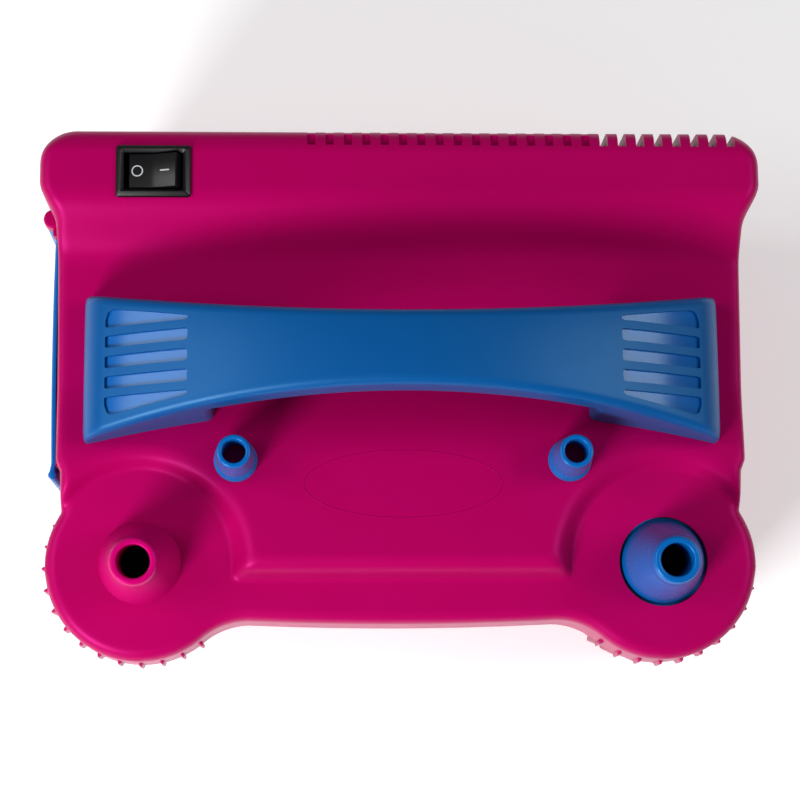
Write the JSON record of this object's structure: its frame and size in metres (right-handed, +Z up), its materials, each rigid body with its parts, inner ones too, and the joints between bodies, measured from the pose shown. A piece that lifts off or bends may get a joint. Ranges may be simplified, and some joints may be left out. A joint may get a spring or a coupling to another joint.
{
  "type": "electric balloon pump",
  "caption": "Twin-nozzle electric balloon inflator in a low case with a carrying handle, rocker switch, push-to-run nozzle, stored adaptors and a side door for its cord.",
  "frame": {"origin": "centre of the footprint, on the surface that the feet stand on", "axes": "+X to the right with the nozzles in front, +Y to the rear vents, +Z up"},
  "size_m": [0.204, 0.149, 0.115],
  "materials": {
    "case_pink": "satin moulded",
    "trim_blue": "fine texture",
    "switch_black": "semi gloss",
    "rubber_black": "matt",
    "screw_steel": "zinc plated",
    "spring_steel": "drawn wire",
    "lamination_steel": "stacked sheet",
    "winding_copper": "lacquered",
    "bearing_bronze": "sintered",
    "contact_brass": "stamped",
    "carbon": "matt",
    "bracket_white": "moulded",
    "duct_grey": "moulded",
    "filter_foam": "open cell",
    "lead_sleeve": "extruded"
  },
  "bodies": {
    "case": {"air_duct": "duct_grey", "bottom_shell": "case_pink", "brush_holders": "contact_brass", "brush_springs": "spring_steel", "brushes": "carbon", "capacitor": "bracket_white", "case_screws": "screw_steel", "cord_bay": "case_pink", "cord_gland": "rubber_black", "door_pin": "screw_steel", "fan_backplate": "duct_grey", "fan_case": "duct_grey", "feet": "rubber_black", "field_coils": "winding_copper", "front_bearing": "bearing_bronze", "front_bracket": "bracket_white", "handle": "trim_blue", "handle_screws": "screw_steel", "handle_underside": "trim_blue", "intake_filter": "filter_foam", "left_nozzle": "case_pink", "left_nozzle_seal": "rubber_black", "microswitch_body": "switch_black", "microswitch_terminals": "contact_brass", "motor_bolts": "screw_steel", "motor_mounts": "rubber_black", "rear_bearing": "bearing_bronze", "rear_bracket": "bracket_white", "right_nozzle_seal": "rubber_black", "right_nozzle_spring": "spring_steel", "stator_core": "lamination_steel", "switch_body": "switch_black", "switch_terminals": "contact_brass", "terminal_block": "bracket_white", "thermal_cutout": "switch_black", "top_shell": "case_pink", "wiring": "lead_sleeve"},
    "rotor": {"impeller": "bracket_white", "impeller_nut": "screw_steel", "motor_shaft": "screw_steel", "armature_core": "lamination_steel", "armature_windings": "winding_copper", "commutator": "winding_copper"},
    "door": {"cord_door": "trim_blue"},
    "rocker": {"switch_rocker": "switch_black"},
    "push_nozzle": {"right_nozzle": "trim_blue"},
    "lever": {"microswitch_lever": "spring_steel"},
    "plunger": {"microswitch_plunger": "bracket_white"},
    "loose_left": {"left_adaptor": "trim_blue"},
    "loose_right": {"right_adaptor": "trim_blue"}
  },
  "joints": [
    {"name": "rotor_spin", "type": "hinge", "parent": "case", "child": "rotor", "pos_m": [0, 0.0185, 0.039], "axis": [0, 1, 0], "continuous": true},
    {"name": "door_hinge", "type": "hinge", "parent": "case", "child": "door", "pos_m": [-0.099, 0.0525, 0.041], "axis": [0, 0, -1], "range_deg": [0, 95]},
    {"name": "rocker_hinge", "type": "hinge", "parent": "case", "child": "rocker", "pos_m": [-0.0694, 0.0615, 0.09], "axis": [0, 1, 0], "range_deg": [0, 20]},
    {"name": "nozzle_push", "type": "slide", "parent": "case", "child": "push_nozzle", "axis": [0, 0.0872, -0.9962], "range_m": [0, 0.004], "stiffness_N_per_m": 1500, "springref_m": -0.0015, "deforming": ["right_nozzle_spring"]},
    {"name": "lever_hinge", "type": "hinge", "parent": "case", "child": "lever", "pos_m": [0.036, -0.0433, 0.062], "axis": [0, 1, 0], "range_deg": [0, 13]},
    {"name": "plunger_slide", "type": "slide", "parent": "case", "child": "plunger", "axis": [0, 0, -1], "range_m": [0, 0.0011]},
    {"name": "left_adaptor_lift", "type": "slide", "parent": "case", "child": "loose_left", "axis": [0, 0, 1], "range_m": [0, 0.03]},
    {"name": "right_adaptor_lift", "type": "slide", "parent": "case", "child": "loose_right", "axis": [0, 0, 1], "range_m": [0, 0.03]}
  ],
  "couplings": [
    {"joint": "lever_hinge", "follows": "nozzle_push", "rad_per_m": 51.9},
    {"joint": "plunger_slide", "follows": "nozzle_push", "ratio": 0.25}
  ]
}
